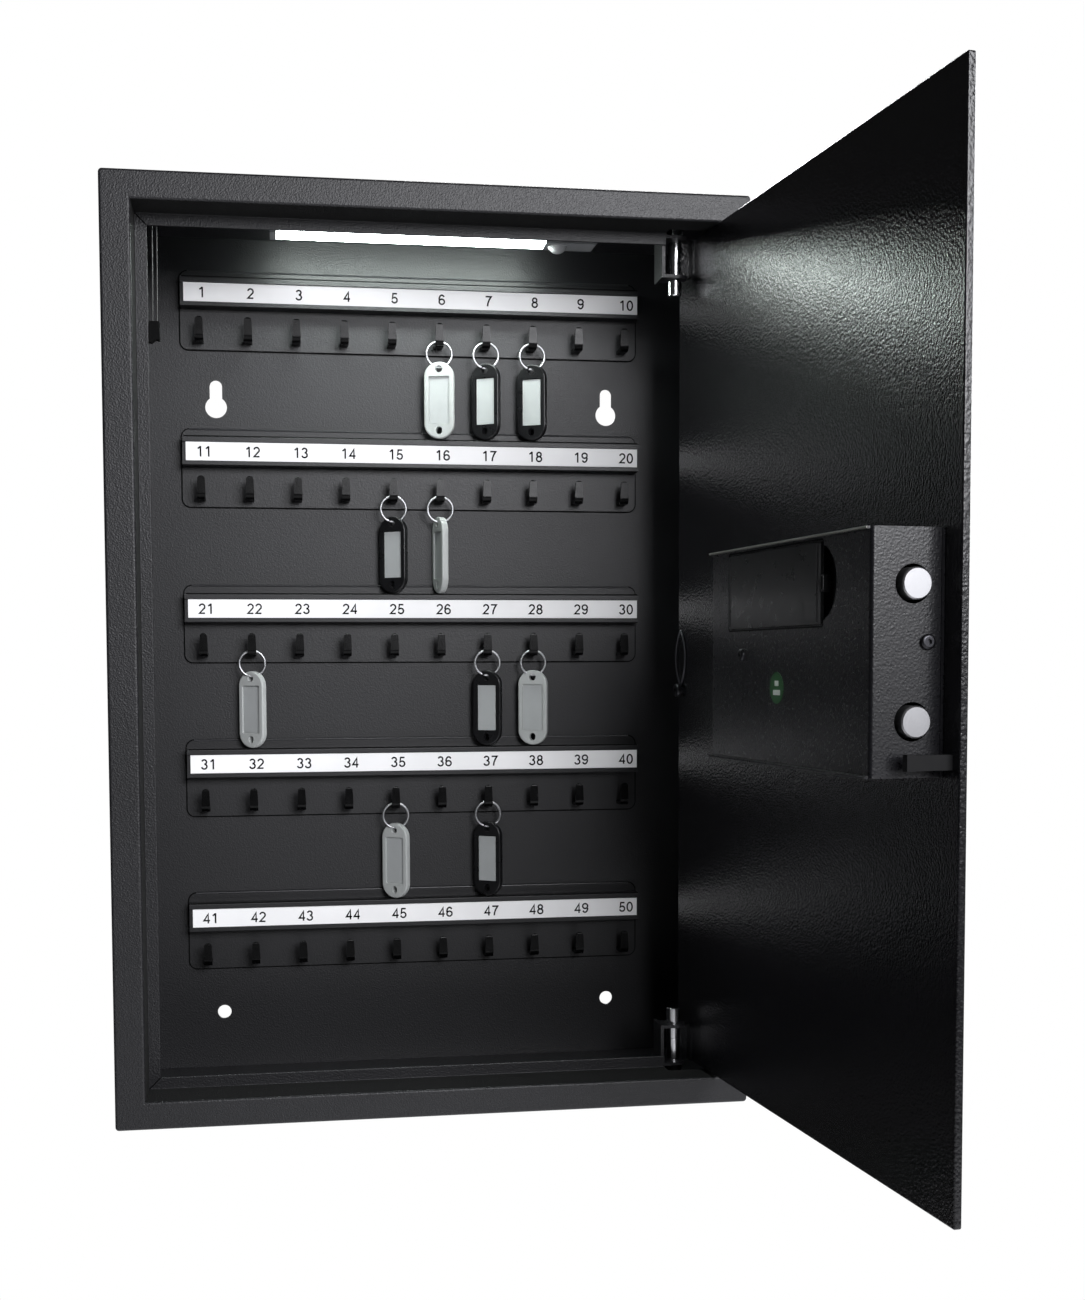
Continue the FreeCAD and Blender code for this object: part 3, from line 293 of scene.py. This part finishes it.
MATS = {
    "shell": shell_coat(),
    "panel": powder_coat("panel_coat", (0.008, 0.008, 0.0096), 0.45, 0.0009, 0.00012),
    "rail": powder_coat("rail_coat", (0.0095, 0.0095, 0.011), 0.42, 0.0009, 0.00009),
    "door": powder_coat("door_coat", (0.0042, 0.0042, 0.0052), 0.21, 0.0014, 0.00026),
    "housing": powder_coat("housing_coat", (0.0050, 0.0050, 0.0064), 0.28, 0.0010, 0.00010),
    "hook": moulded("hook_coat", (0.0012, 0.0012, 0.0014), 0.24, Specular_IOR_Level=0.22),
    "strip": printed_strip(),
    "lens": glowing_lens(),
    "light_end": moulded("light_end", (0.34, 0.35, 0.36), 0.42),
    "dome": moulded("dome_pearl", (0.62, 0.63, 0.64), 0.22, 0.0001, 700.0),
    "chrome": brushed("pin_chrome", (0.78, 0.78, 0.80), 0.12, (300, 300, 4000), 0.00001),
    "bolt": brushed("bolt_turned", (0.36, 0.36, 0.37), 0.36, (1500, 1500, 1500), 0.00002),
    "zinc": brushed("zinc_plate", (0.50, 0.50, 0.52), 0.34, (500, 500, 3000)),
    "screw": brushed("screw_black", (0.05, 0.05, 0.055), 0.35, (800, 800, 800)),
    "spring": brushed("spring_wire", (0.10, 0.10, 0.11), 0.42, (900, 900, 4000)),
    "plastic": moulded("black_plastic", (0.003, 0.003, 0.0035), 0.6),
    "cover": moulded("cover_plastic", (0.0030, 0.0034, 0.0034), 0.28, 0.00001),
    "keypad": moulded("keypad_touch", (0.006, 0.006, 0.007), 0.10, 0.000004, 400.0),
    "cell": battery_jacket(),
    "board": circuit(),
    "knob": brushed("knob_satin", (0.42, 0.42, 0.44), 0.30, (2500, 2500, 200)),
    "brass": brushed("plug_brass", (0.62, 0.55, 0.42), 0.26, (700, 700, 700)),
    "tag_white": moulded("tag_white", (0.54, 0.56, 0.55), 0.32, 0.00002, 900.0, 0.03),
    "tag_black": moulded("tag_black", (0.010, 0.010, 0.011), 0.28, 0.00002),
    "ring": brushed("ring_wire", (0.62, 0.62, 0.64), 0.34, (900, 900, 900), 0.000005),
    "paper": moulded("label_paper", (0.50, 0.52, 0.52), 0.45, 0.00001, 2600.0, 0.03),
    "ink": moulded("strip_ink", (0.003, 0.003, 0.003), 0.8, Specular_IOR_Level=0.0),
    "print": moulded("key_print", (0.62, 0.68, 0.70), 0.4),
    "sticker": moulded("sticker_green", (0.028, 0.12, 0.038), 0.4),
    "sticker_pale": moulded("sticker_pale", (0.75, 0.82, 0.75), 0.4),
    "cable": moulded("cable_grey", (0.022, 0.022, 0.021), 0.4),
    # Pale: a painted highlight for the battery cover's edge lines.
    "rib_painted_highlight": moulded("cover_rib_painted_highlight", (0.045, 0.045, 0.046), 0.35),
    "rubber": moulded("stop_rubber", (0.006, 0.006, 0.0065), 0.7, Specular_IOR_Level=0.2),
    # Near black: the real black of the lead clip and mitre seams, and painted shadow for the rail edges, channel
    # lines and battery cover gap.
    "black_and_painted_shadow": moulded("black_matte_and_painted_shadow", (0.0008, 0.0008, 0.0009), 0.75, Specular_IOR_Level=0.15),
    # Lighter than the rail coat: a painted highlight for the rails' top edges.
    "rail_highlight": powder_coat("rail_painted_highlight_coat", (0.024, 0.024, 0.027), 0.34, 0.0009, 0.00007),
    # Pale: a painted highlight for the lock housing's upper hem.
    "hem_and_painted_highlight": powder_coat("hem_painted_highlight_coat", (0.14, 0.14, 0.125), 0.36, 0.0009, 0.00008),
}

NODE_LOOKS = {
    "back_panel": "panel", "hinge_brackets": "shell", "number_strips": "strip", "led_housing": "light_end",
    "led_diffuser": "lens", "led_sensor_dome": "dome", "door_panel": "door", "hinge_pins": "chrome",
    "hinge_lugs": "door", "lock_housing": "housing", "button_screws": "screw", "bow_spring": "spring",
    "stop_tab": "rubber", "keypad_bezel": "plastic", "keypad_face": "keypad", "battery_box": "plastic",
    "batteries": "cell", "circuit_board": "board", "solenoid": "zinc", "solenoid_plunger": "bolt",
    "battery_cover": "cover", "bolt_carriage": "zinc", "locking_bolts": "bolt", "knob": "knob",
    "knob_shaft": "bolt", "override_plug": "brass",
}
for side in ("left_side", "right_side", "top", "bottom"):
    NODE_LOOKS[f"{side}_panel"] = "shell"
for row in range(1, ROWS + 1):
    NODE_LOOKS[f"hook_rail_{row}"] = "rail"
    NODE_LOOKS[f"hooks_row_{row}"] = "hook"
for number in TAG_TURN:
    NODE_LOOKS[f"key_tag_{number:02d}"] = "tag_white" if number in WHITE_TAGS else "tag_black"
    NODE_LOOKS[f"key_ring_{number:02d}"] = "ring"

for name, look in NODE_LOOKS.items():
    mesh = nodes[name].data
    mesh.materials.clear()
    mesh.materials.append(MATS[look])


# ---- added pieces --------------------------------------------------------------------------------------
def piece(name, mesh, look, body, place=None):
    """New visible piece in the row frame, riding a CAD body."""
    obj = bpy.data.objects.new(name, mesh)
    bpy.context.scene.collection.objects.link(obj)
    mesh.materials.clear()
    mesh.materials.append(MATS[look])
    if place is not None:
        mesh.transform(place)
    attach(obj, body)
    return obj


def solid(outline, depth):
    """Closed prism: the outline in X and Z at y = 0, thickened towards -Y. Millimetres in, metres out."""
    count = len(outline)
    verts = [(x * MM, 0.0, z * MM) for x, z in outline] + [(x * MM, -depth * MM, z * MM) for x, z in outline]
    faces = [tuple(range(count))[::-1], tuple(range(count, 2 * count))]
    faces += [(i, (i + 1) % count, (i + 1) % count + count, i + count) for i in range(count)]
    mesh = bpy.data.meshes.new("solid")
    mesh.from_pydata(verts, [], faces)
    return fixed_normals(mesh)


def fixed_normals(mesh):
    """The same mesh with every face turned outwards."""
    work = bmesh.new()
    work.from_mesh(mesh)
    bmesh.ops.recalc_face_normals(work, faces=work.faces)
    work.to_mesh(mesh)
    work.free()
    return mesh


def rounded(width, height, radius, steps=6):
    """Outline of a rectangle with round corners, centred on the origin."""
    points = []
    for cx, cz, first in ((1, 1, 0), (-1, 1, 90), (-1, -1, 180), (1, -1, 270)):
        for i in range(steps + 1):
            a = math.radians(first + 90.0 * i / steps)
            points.append((cx * (width / 2 - radius) + radius * math.cos(a),
                           cz * (height / 2 - radius) + radius * math.sin(a)))
    return points


def joined(meshes):
    """One mesh from several."""
    work = bmesh.new()
    for mesh in meshes:
        work.from_mesh(mesh)
    whole = bpy.data.meshes.new("joined")
    work.to_mesh(whole)
    work.free()
    return whole


def arc(cx, cy, rx, ry, start, end, steps=14):
    """Points of an elliptical arc between two angles in degrees."""
    angles = [math.radians(start + (end - start) * i / steps) for i in range(steps + 1)]
    return [(cx + rx * math.cos(a), cy + ry * math.sin(a)) for a in angles]


def half_turned(strokes):
    """Strokes of a sign turned upside down."""
    return [[(0.66 - x, 1.0 - y) for x, y in stroke] for stroke in strokes]


SIX = [arc(0.345, 0.50, 0.27, 0.445, 38, 180), arc(0.335, 0.305, 0.26, 0.25, 0, 360, 24)]
GLYPHS = {
    "0": [arc(0.33, 0.50, 0.26, 0.445, 0, 360, 28)],
    "1": [[(0.13, 0.76), (0.26, 0.84), (0.40, 0.97)], [(0.40, 1.0), (0.40, 0.0)]],
    "2": [arc(0.33, 0.69, 0.25, 0.255, 168, -32) + [(0.08, 0.06), (0.60, 0.06)]],
    "3": [arc(0.31, 0.735, 0.22, 0.21, 165, -88), arc(0.31, 0.285, 0.255, 0.235, 88, -168)],
    "4": [[(0.47, 0.0), (0.47, 0.93), (0.07, 0.28), (0.63, 0.28)]],
    "5": [[(0.57, 0.94), (0.18, 0.94), (0.12, 0.48)] + arc(0.32, 0.315, 0.26, 0.26, 128, -165)],
    "6": SIX,
    "7": [[(0.05, 0.94), (0.60, 0.94), (0.40, 0.62), (0.28, 0.30), (0.24, 0.0)]],
    "8": [arc(0.33, 0.735, 0.21, 0.21, 0, 360, 24), arc(0.33, 0.285, 0.255, 0.235, 0, 360, 24)],
    "9": half_turned(SIX),
    "-": [[(0.12, 0.45), (0.54, 0.45)]],
    "=": [[(0.10, 0.60), (0.56, 0.60)], [(0.10, 0.32), (0.56, 0.32)]],
}
ADVANCE = 0.78             # from one digit to the next, per unit of height


def ribbon(points, width):
    """Outline of a line of the given width drawn through the points."""
    left, right = [], []
    for i, (x, y) in enumerate(points):
        before, after = points[max(i - 1, 0)], points[min(i + 1, len(points) - 1)]
        ways = []
        for (x0, y0), (x1, y1) in ((before, (x, y)), ((x, y), after)):
            length = math.hypot(x1 - x0, y1 - y0)
            if length > 1e-9:
                ways.append(((x1 - x0) / length, (y1 - y0) / length))
        tx, ty = sum(w[0] for w in ways), sum(w[1] for w in ways)
        length = math.hypot(tx, ty)
        tx, ty = tx / length, ty / length
        reach = width / 2 / max(0.45, tx * ways[0][0] + ty * ways[0][1])
        left.append((x - ty * reach, y + tx * reach))
        right.append((x + ty * reach, y - tx * reach))
    return left + right[::-1]


def lettering(text, height, stroke=0.115, thick=0.05):
    """Digits as a thin raised mesh in X and Z, centred on the origin, read from -Y. Millimetres in."""
    meshes = []
    start = -((len(text) - 1) * ADVANCE + 0.66) / 2
    for i, sign in enumerate(text):
        for points in GLYPHS[sign]:
            spot = [((start + i * ADVANCE + x) * height, (y - 0.5) * height) for x, y in points]
            meshes.append(solid(ribbon(spot, stroke * height), thick))
    return joined(meshes)


def disc(radius, thick, steps=40):
    """Round plate facing -Y, centred on the origin. Millimetres in."""
    angles = [math.tau * i / steps for i in range(steps)]
    return solid([(radius * math.cos(a), radius * math.sin(a)) for a in angles], thick)


def moved(mesh, x, y, z):
    """The same mesh, moved. Millimetres in."""
    mesh.transform(Matrix.Translation(Vector((x, y, z)) * MM))
    return mesh


def hook_x(place):
    return (place - (HOOKS - 1) / 2) * HOOK_PITCH


def strip_top(row):
    return TOP_STRIP - ROW_PITCH * row


def strip_numbers():
    """Numbers 1 to 50, one piece per row."""
    for row in range(ROWS):
        meshes = []
        for place in range(HOOKS):
            mesh = lettering(str(row * HOOKS + place + 1), DIGIT_HEIGHT, DIGIT_STROKE)
            meshes.append(moved(mesh, hook_x(place) + DIGIT_SHIFT, STRIP_FACE - 0.03, strip_top(row) - DIGIT_DROP))
        piece(f"strip_numbers_{row + 1}", joined(meshes), "ink", "cabinet")


def tag_labels():
    """Paper label in each window of each tag."""
    for number, turn in TAG_TURN.items():
        row, place = divmod(number - 1, HOOKS)
        width, height, thick = LABEL
        card = moved(solid(rounded(width, height, 0.3), thick), 0, thick / 2, 0)
        spot = Matrix.Translation(Vector((hook_x(place), -TAG_STAND, strip_top(row) - TAG_MIDDLE_DROP)) * MM)
        turned = Matrix.Rotation(-math.radians(turn), 4, "Z")
        piece(f"tag_label_{number:02d}", card, "paper", f"tag_{number:02d}", spot @ turned)


def on_door(x, y, z):
    """Place of a piece drawn facing -Y, put on the shut door facing +Y, then swung open with it."""
    spot = Matrix.Translation(Vector((x, y, z)) * MM)
    return OPEN_DOOR @ spot @ Matrix.Rotation(math.pi, 4, "Z")


def ring(width, height, radius, band, thick):
    """Flat band round a rectangle with round corners; the rectangle is the hole."""
    inner = rounded(width, height, radius)
    outer = rounded(width + 2 * band, height + 2 * band, radius + band)
    count = len(inner)
    loops = [(inner, 0.0), (outer, 0.0), (outer, -thick), (inner, -thick)]
    verts = [(x * MM, y * MM, z * MM) for loop, y in loops for x, z in loop]
    faces = []
    for k in range(4):
        a, b = k * count, ((k + 1) % 4) * count
        faces += [(a + i, a + (i + 1) % count, b + (i + 1) % count, b + i) for i in range(count)]
    mesh = bpy.data.meshes.new("ring")
    mesh.from_pydata(verts, [], faces)
    return fixed_normals(mesh)


def wire(points, radius, sides=10):
    """Round wire through points, closed at both ends. Millimetres in."""
    meshes = []
    for start, end in zip(points, points[1:]):
        a, b = Vector(start) * MM, Vector(end) * MM
        work = bmesh.new()
        bmesh.ops.create_cone(work, cap_ends=True, segments=sides, radius1=radius * MM, radius2=radius * MM,
                              depth=(b - a).length)
        turn = Vector((0, 0, 1)).rotation_difference(b - a).to_matrix().to_4x4()
        bmesh.ops.transform(work, matrix=Matrix.Translation((a + b) / 2) @ turn, verts=work.verts)
        mesh = bpy.data.meshes.new("wire")
        work.to_mesh(mesh)
        work.free()
        meshes.append(mesh)
    return joined(meshes)


def rail_trim():
    """Each rail's painted shadow line where its plate meets the back panel, a painted highlight on the rounded bend
    above its strip and a painted shadow line in its channel.
    """
    for row in range(ROWS):
        # Black band round the plate: painted shadow of its edge on the back panel.
        band = ring(303.3, 50.2, 5.0, 0.9, 0.35)
        spot = Matrix.Translation(Vector((-1.05, -1.5, strip_top(row) - 15.9)) * MM)
        piece(f"rail_seal_{row + 1}", band, "black_and_painted_shadow", "cabinet", spot)
        # Lighter wire along the plate's top edge: a painted highlight.
        high = strip_top(row) + 9.3
        rail_highlight = wire([(-148.0, -2.3, high), (146.0, -2.3, high)], 0.7)
        piece(f"rail_brow_{row + 1}", rail_highlight, "rail_highlight", "cabinet")
        # Black wire above the strip: a painted shadow along the channel's top.
        high = strip_top(row) + 3.7
        shade_line = wire([(-151.2, -12.4, high), (150.0, -12.4, high)], 0.5)
        piece(f"channel_line_{row + 1}", shade_line, "black_and_painted_shadow", "cabinet")


def light_leads():
    """Two leads of the lamp that run down behind the left lip to a black clip."""
    for n, x in enumerate((-163.5, -160.9)):
        lead = wire([(x, -104.0, 196.0), (x + 0.4, -104.0, 230.0), (x + 0.6, -104.0, 262.0)], 0.38)
        piece(f"light_lead_{n + 1}", lead, "cable", "cabinet")
    outline = [(-169.0, 197.0), (-159.6, 197.0), (-159.2, 186.0), (-161.5, 186.5), (-164.0, 184.5), (-169.0, 186.0)]
    piece("lead_clip", moved(solid(outline, 6.0), 0, -103.2, 0), "black_and_painted_shadow", "cabinet")


def lip_mitres():
    """Seam at each left corner of the door stop, where the panels' mitred ends meet."""
    for name, sign in (("upper", 1), ("lower", -1)):
        seam = wire([(-172.2, -111.0, 258.2 * sign), (-165.8, -111.0, 251.8 * sign)], 0.35)
        piece(f"lip_mitre_{name}", seam, "black_and_painted_shadow", "cabinet")


def housing_trim():
    """Edges of the lock housing: its two hems, the upper one pale as a painted highlight, the seam against the door,
    the battery cover's outline as a painted shadow of its gap, and pale cover ribs as painted highlights.
    """
    # The upper hem's pale colour is a painted highlight; the lower hem keeps the housing coat.
    for name, look, z in (("upper", "hem_and_painted_highlight", BOX_HALF_HEIGHT), ("lower", "housing", -BOX_HALF_HEIGHT)):
        hem_and_painted_highlight = wire([(BOX_LEFT + 1.5, BOX_FACE + 1.5, z), (27.3, BOX_FACE + 1.5, z)], 0.55)
        piece(f"housing_hem_{name}", hem_and_painted_highlight, look, "door", OPEN_DOOR)
    reach = BOX_HALF_HEIGHT + 0.2
    seam = wire([(BOX_LEFT, DOOR_IN + 0.5, -reach), (BOX_LEFT, DOOR_IN + 0.5, reach)], 0.9)
    piece("housing_seam", seam, "housing", "door", OPEN_DOOR)
    # Black band round the battery cover: painted shadow of the gap between cover and housing.
    outline = ring(111.3, 39.8, 1.0, 0.8, 0.12)
    piece("cover_gap_shadow", outline, "black_and_painted_shadow", "door", on_door(*COVER_CENTRE))
    # Pale ribs along the cover's edges: their colour is a painted highlight.
    ribs = [wire([(x, BOX_FACE + 0.6, 14.8), (x, BOX_FACE + 0.6, 51.0)], 0.45) for x in (-106.2, -102.6, 1.2)]
    piece("cover_highlight_ribs", joined(ribs), "rib_painted_highlight", "cover", OPEN_DOOR)


def sticker():
    """Round green inspection sticker with plain pale bars."""
    thick = 0.12
    piece("inspection_sticker", disc(STICKER_RADIUS, thick), "sticker", "door", on_door(*STICKER))
    bars = [moved(solid(rounded(width, 2.6, 0.3, 3), thick / 2), 0, -thick, z)
            for z, width in ((2.3, 4.6), (-2.3, 8.2))]
    piece("sticker_bars", joined(bars), "sticker_pale", "door", on_door(*STICKER))


def keypad_print():
    """Generic digits and two plain symbols on the keypad."""
    meshes = []
    for i, key in enumerate("-0=789456123"):
        line, column = divmod(i, 3)
        x, z = KEYPAD_X + (column - 1) * KEY_PITCH[0], KEYPAD_LOW_ROW + line * KEY_PITCH[1]
        meshes.append(moved(lettering(key, KEY_SIGN_HEIGHT), x, KEYPAD_FACE, z))
    piece("keypad_print", joined(meshes), "print", "door", OPEN_DOOR)


strip_numbers()
tag_labels()
rail_trim()
light_leads()
lip_mitres()
housing_trim()
sticker()
keypad_print()


# ---- stage ---------------------------------------------------------------------------------------------
FILL = 0.03                # strength of the even light from all round
LIGHT_COLOR = (0.96, 0.965, 1.0)


def floor():
    """Round pale floor below the cabinet."""
    mesh = bpy.data.meshes.new("floor")
    reach, middle, low, steps = 1.35, -1.15, -0.62, 96
    rim = [(reach * math.cos(math.tau * i / steps), middle + reach * math.sin(math.tau * i / steps), low)
           for i in range(steps)]
    mesh.from_pydata(rim, [], [tuple(range(steps))])
    obj = bpy.data.objects.new("floor", mesh)
    bpy.context.scene.collection.objects.link(obj)
    pale = material("floor_pale", (0.82, 0.82, 0.82), 0.8)
    g = Graph(pale)
    g.color(g.ramp(g.noise(3.0, 3.0), [(0.3, (0.81, 0.81, 0.81)), (0.7, (0.83, 0.83, 0.83))]))
    mesh.materials.append(pale)


def area_light(name, place, target, size, power):
    """Soft rectangular light aimed at a point. Metres and watts."""
    data = bpy.data.lights.new(name, "AREA")
    data.shape = "RECTANGLE"
    data.size, data.size_y = size
    data.energy = power
    data.color = LIGHT_COLOR
    obj = bpy.data.objects.new(name, data)
    bpy.context.scene.collection.objects.link(obj)
    obj.location = place
    obj.rotation_euler = (Vector(target) - Vector(place)).to_track_quat("-Z", "Y").to_euler()
    return obj


def world():
    """White backdrop and a weak even fill for the object."""
    backdrop = bpy.data.worlds.new("studio")
    bpy.context.scene.world = backdrop
    backdrop.use_nodes = True
    tree = backdrop.node_tree
    tree.nodes.clear()
    out = tree.nodes.new("ShaderNodeOutputWorld")
    mix = tree.nodes.new("ShaderNodeMixShader")
    path = tree.nodes.new("ShaderNodeLightPath")
    fill = tree.nodes.new("ShaderNodeBackground")
    white = tree.nodes.new("ShaderNodeBackground")
    fill.inputs["Color"].default_value = (1, 1, 1, 1)
    fill.inputs["Strength"].default_value = FILL
    white.inputs["Color"].default_value = (1, 1, 1, 1)
    white.inputs["Strength"].default_value = 1.0
    tree.links.new(path.outputs["Is Camera Ray"], mix.inputs["Fac"])
    tree.links.new(fill.outputs[0], mix.inputs[1])
    tree.links.new(white.outputs[0], mix.inputs[2])
    tree.links.new(mix.outputs[0], out.inputs["Surface"])


def linked(name, members, state):
    """Light-linking group of some CAD nodes."""
    group = bpy.data.collections.new(name)
    for node in members:
        group.objects.link(nodes[node])
    for member in group.collection_objects:
        member.light_linking.link_state = state
    return group


def lit_only(light, members):
    """Let a light reach only these CAD nodes."""
    light.light_linking.receiver_collection = linked(light.name + "_group", members, "INCLUDE")


def camera():
    """Camera at the fitted viewpoint: focal length and centre in pixels of a 1085 by 1300 frame."""
    width, height = 1085.0, 1300.0
    focal, cx, cy = 1598.3, 521.5, 756.3
    rx, ry, rz = (math.radians(a) for a in (3.317, -8.978, -0.201))
    data = bpy.data.cameras.new("camera")
    data.sensor_fit = "AUTO"
    data.sensor_width = 36.0
    data.lens = focal * 36.0 / height
    data.shift_x = (width / 2 - cx) / height
    data.shift_y = (cy - height / 2) / height
    data.clip_start = 0.01
    data.clip_end = 50.0
    obj = bpy.data.objects.new("camera", data)
    bpy.context.scene.collection.objects.link(obj)
    base = Matrix(((1, 0, 0), (0, 0, -1), (0, 1, 0)))
    turn_x = Matrix(((1, 0, 0), (0, math.cos(rx), -math.sin(rx)), (0, math.sin(rx), math.cos(rx))))
    turn_y = Matrix(((math.cos(ry), 0, math.sin(ry)), (0, 1, 0), (-math.sin(ry), 0, math.cos(ry))))
    turn_z = Matrix(((math.cos(rz), -math.sin(rz), 0), (math.sin(rz), math.cos(rz), 0), (0, 0, 1)))
    right, down, ahead = turn_z @ turn_x @ turn_y @ base
    axes = Matrix((right, -down, -ahead)).transposed()
    obj.matrix_world = Matrix.Translation((-0.0988, -1.0803, -0.0042)) @ axes.to_4x4()
    bpy.context.scene.camera = obj


world()
floor()
nodes["led_diffuser"].light_linking.receiver_collection = linked(
    "lens_group", ["number_strips", "hooks_row_1"], "EXCLUDE")
area_light("key", (0.52, -1.60, 0.55), (0.0, 0.0, 0.02), (0.95, 0.7), 28.0)
area_light("side", (1.25, -1.55, 0.30), (0.15, -0.2, 0.0), (0.9, 0.9), 3.0)
area_light("rear", (0.45, 1.60, 0.90), (0.0, 0.0, 0.0), (0.6, 0.8), 40.0)
area_light("rear_right", (1.70, 0.45, 0.70), (0.15, -0.15, 0.0), (1.0, 1.0), 30.0)
for name, place, size, power in (
        ("strip_wash_lamp", (-0.0075, -0.052, 0.262), (0.17, 0.018), 0.03),
        ("strip_wash_upper", (0.40, -1.60, 0.45), (0.6, 0.4), 2.0),
        ("strip_wash_lower", (0.30, -1.50, -0.35), (0.6, 0.4), 5.0)):
    lit_only(area_light(name, place, (0.0, -0.012, place[2] * 0.7), size, power), ["number_strips"])
camera()
bpy.context.scene.view_settings.view_transform = "Standard"
